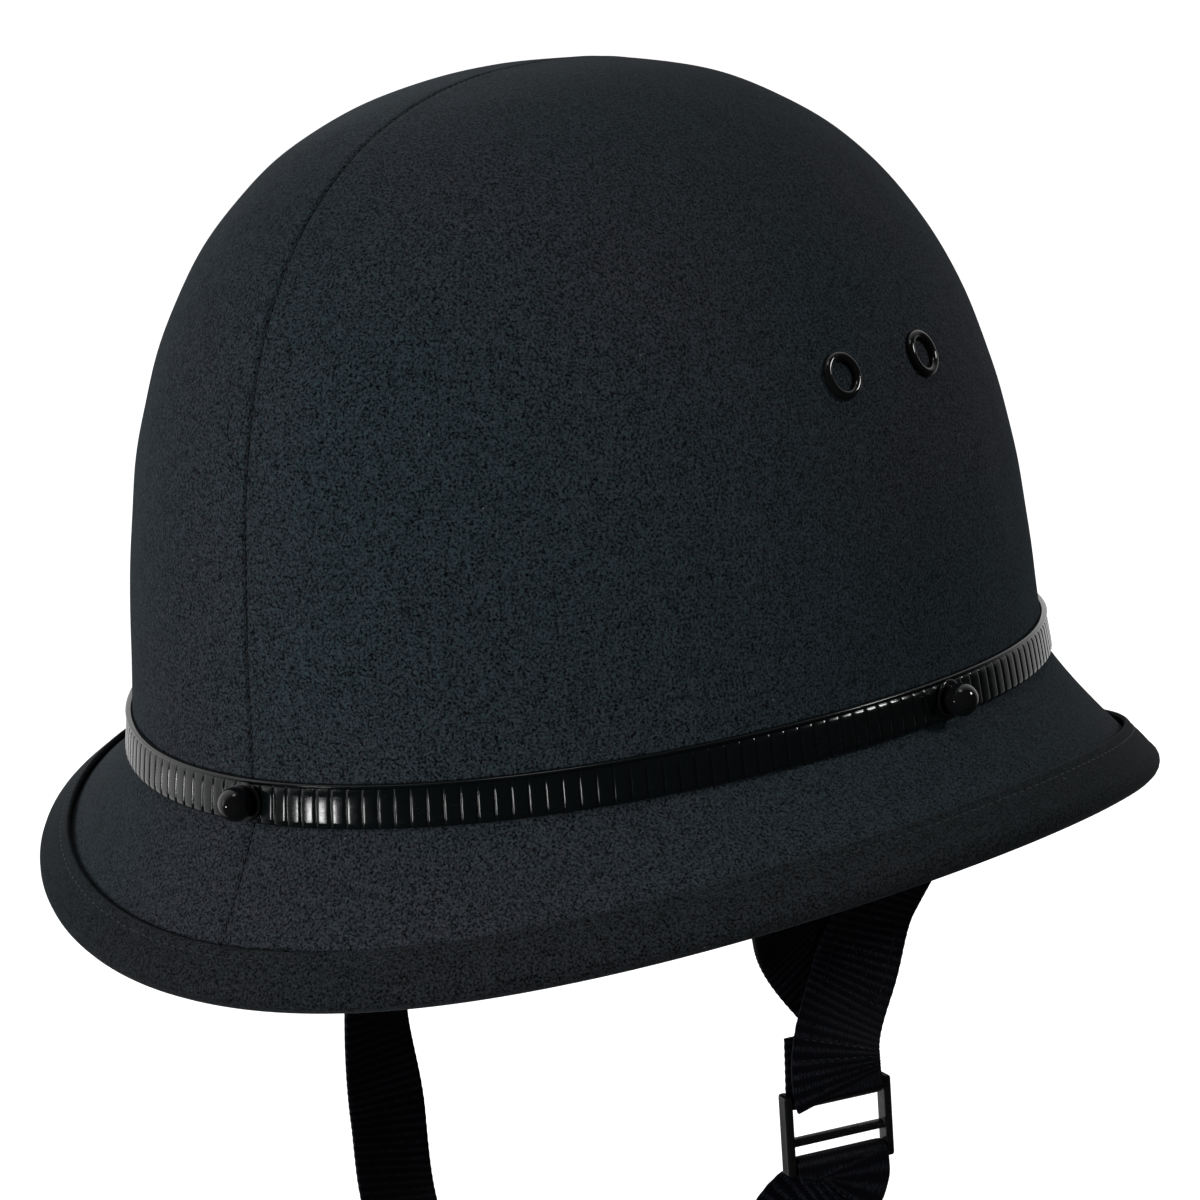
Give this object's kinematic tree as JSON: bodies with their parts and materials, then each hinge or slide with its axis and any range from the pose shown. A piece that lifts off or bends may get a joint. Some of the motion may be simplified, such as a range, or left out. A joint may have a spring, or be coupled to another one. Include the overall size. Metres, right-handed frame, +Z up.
{
  "type": "riding helmet",
  "caption": "Tall cloth-covered riding helmet with a drooping all-round brim, ribbed hat band, side vents and a webbing chin harness with slider and buckle.",
  "frame": {"origin": "centre of the head opening, on the plane of the hat band's lower edge at the sides", "axes": "+Z up through the crown, -Y out of the front of the helmet, +X towards the wearer's left"},
  "size_m": [0.2846, 0.2981, 0.3395],
  "materials": {
    "crown_cloth": "dense dark wool cloth, matt",
    "brim_cloth": "dense dark wool cloth, matt",
    "binding_cloth": "folded dark cloth with a stitched edge",
    "underlay_cloth": "dark plain cloth",
    "band_plastic": "gloss, ribbed",
    "stud_metal": "gloss black enamel",
    "eyelet_metal": "gloss black enamel",
    "webbing": "ribbed woven webbing",
    "slider_plastic": "gloss black moulding",
    "buckle_plastic": "satin black moulding",
    "keeper_rubber": "matt",
    "shell_plastic": "moulded, matt",
    "board_plastic": "stiff fibre-filled board",
    "liner_foam": "expanded bead foam, dark",
    "lining_cloth": "knitted lining",
    "pad_cloth": "brushed knit over soft foam",
    "sweat_leather": "smooth dark leather",
    "steel": "plain steel"
  },
  "bodies": {
    "helmet": {"crown_shell": "shell_plastic", "brim_board": "board_plastic", "crown_cover_left": "crown_cloth", "crown_cover_right": "crown_cloth", "brim_cover_left": "brim_cloth", "brim_cover_right": "brim_cloth", "brim_binding": "binding_cloth", "under_brim_lining": "underlay_cloth", "ribbed_band": "band_plastic", "impact_liner": "liner_foam", "crown_lining": "lining_cloth", "crown_comfort_pad": "pad_cloth", "headband_padding": "pad_cloth", "sweatband": "sweat_leather", "front_band_stud": "stud_metal", "left_band_stud": "stud_metal", "rear_band_stud": "stud_metal", "right_band_stud": "stud_metal", "stud_nuts": "steel", "vent_eyelets_left": "eyelet_metal", "vent_eyelets_right": "eyelet_metal", "eyelet_washers": "steel", "harness_rivets": "steel", "harness_anchor_plates": "steel", "strap_rear_left": "webbing", "strap_front_left": "webbing", "strap_rear_right": "webbing", "strap_front_right": "webbing", "nape_strap": "webbing"},
    "chin_loop": {"slider_left": "slider_plastic", "chin_strap_left": "webbing", "buckle_socket": "buckle_plastic", "chin_strap_right": "webbing"},
    "tongue": {"buckle_tongue": "buckle_plastic"},
    "keeper": {"strap_keeper": "keeper_rubber"}
  },
  "joints": [
    {"name": "chin_strap_swing", "type": "hinge", "parent": "helmet", "child": "chin_loop", "pos_m": [0, -0.002, -0.073], "axis": [1, 0, 0], "range_deg": [-30, 25], "deforming": ["strap_rear_left"]},
    {"name": "buckle_release", "type": "slide", "parent": "chin_loop", "child": "tongue", "axis": [-1, 0, 0], "range_m": [0, 0.02], "deforming": ["chin_strap_right"]},
    {"name": "keeper_slide", "type": "slide", "parent": "tongue", "child": "keeper", "axis": [-0.9404, 0, 0.3401], "range_m": [-0.006, 0.006]}
  ]
}
